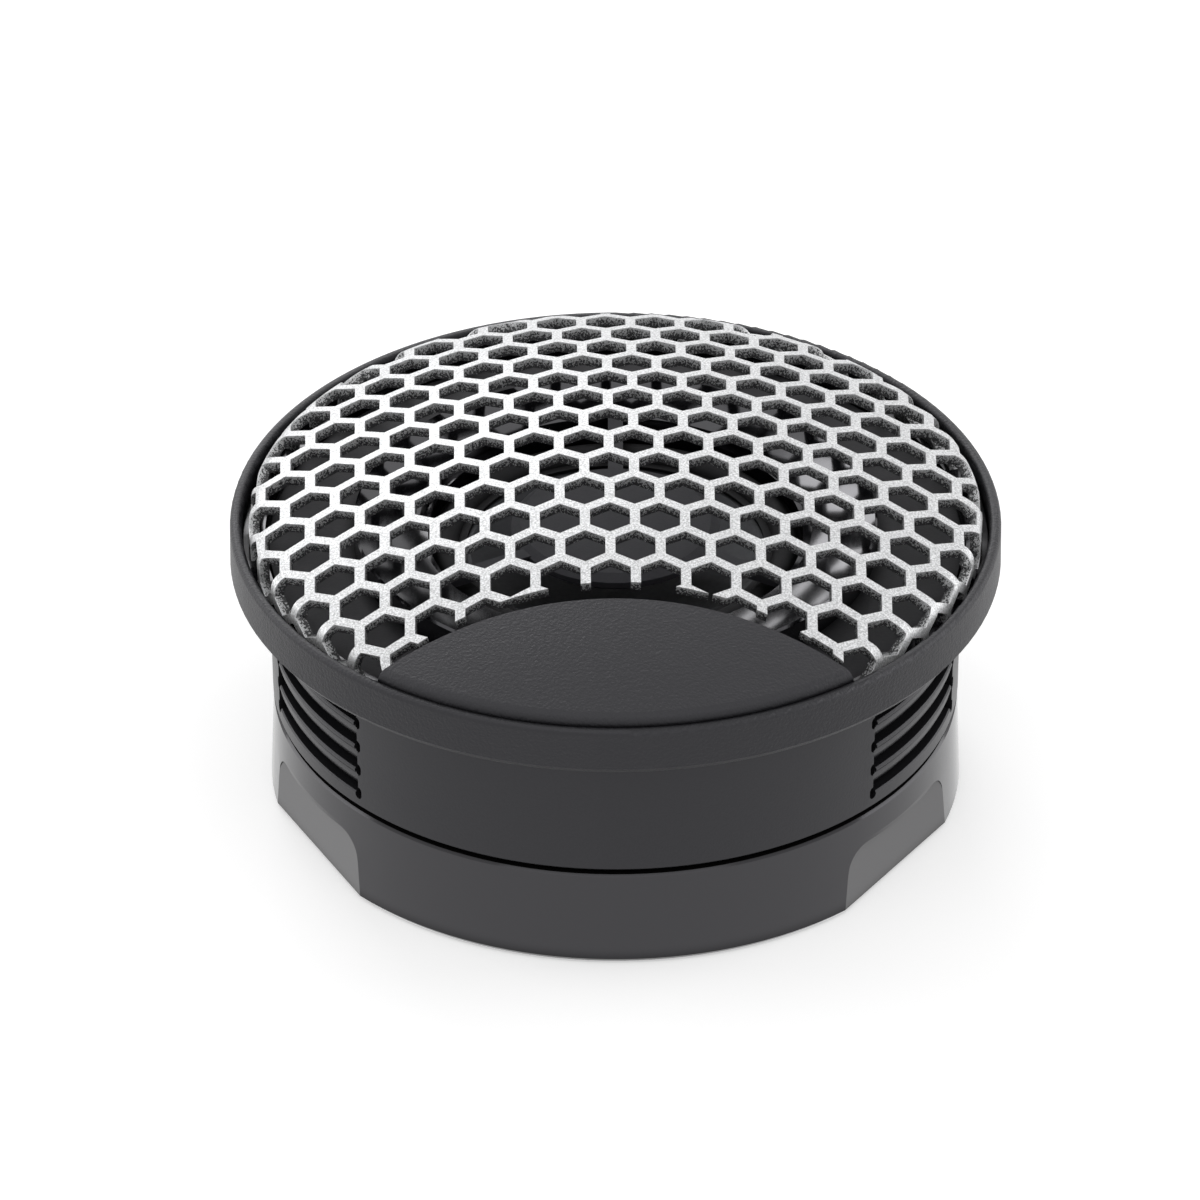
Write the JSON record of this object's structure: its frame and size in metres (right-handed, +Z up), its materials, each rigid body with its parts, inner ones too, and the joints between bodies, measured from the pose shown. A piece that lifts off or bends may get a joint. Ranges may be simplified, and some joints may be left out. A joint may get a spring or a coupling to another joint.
{
  "type": "surface-mount car tweeter",
  "caption": "Surface-mount car tweeter: domed honeycomb grille and crescent nameplate on a finger-grip housing that turns in a low mounting base.",
  "frame": {"origin": "centre of the base's underside, on the speaker's axis", "axes": "+Z up the speaker's axis out of the grille, -Y toward the nameplate, +X to the right as seen from the nameplate's side"},
  "size_m": [0.051, 0.051, 0.0252],
  "materials": {
    "base_plastic": "satin",
    "housing_plastic": "fine grained",
    "bezel_plastic": "fine grained",
    "silver_paint": "satin metallic",
    "gloss_black": "gloss",
    "inner_plastic": "matt",
    "disc_plastic": "matt",
    "surround_rubber": "matt",
    "dome_metal": "dark anodised",
    "former_foil": "bright",
    "copper_wire": "enamelled",
    "yoke_steel": "zinc plated",
    "magnet_nickel": "nickel plated",
    "felt": "soft",
    "foam": "open foam",
    "pad_foam": "self-adhesive foam",
    "soft_rubber": "matt",
    "brass_parts": "bright",
    "lead_cover": "satin",
    "board": "satin",
    "screw_steel": "zinc plated"
  },
  "bodies": {
    "base": {"base_mount": "base_plastic", "adhesive_pad": "pad_foam", "cord_grommet": "soft_rubber"},
    "speaker": {"body_housing": "housing_plastic", "housing_gasket": "foam", "front_bezel": "bezel_plastic", "grille": "silver_paint", "grille_seal": "gloss_black", "baffle_plate": "inner_plastic", "horn_ring": "gloss_black", "phase_disc": "disc_plastic", "surround": "surround_rubber", "yoke_cup": "yoke_steel", "magnet": "magnet_nickel", "pole_plate": "yoke_steel", "damping_felt": "felt", "diaphragm_frame": "inner_plastic", "chamber_foam": "foam", "frame_rivets": "brass_parts", "tinsel_leads": "copper_wire", "lead_wires": "lead_cover", "terminal_board": "board", "solder_lugs": "brass_parts", "board_screws": "screw_steel", "housing_screws": "screw_steel"},
    "diaphragm": {"inverted_dome": "dome_metal", "coil_former": "former_foil", "voice_coil": "copper_wire"}
  },
  "joints": [
    {"name": "housing_turn", "type": "hinge", "parent": "base", "child": "speaker", "pos_m": [0, 0, 0.00725], "axis": [0, 0, 1], "range_deg": [-33, 27]},
    {"name": "diaphragm_travel", "type": "slide", "parent": "speaker", "child": "diaphragm", "axis": [0, 0, 1], "range_m": [-0.0003, 0.0003], "stiffness_N_per_m": 1000, "deforming": ["surround", "tinsel_leads"]}
  ]
}
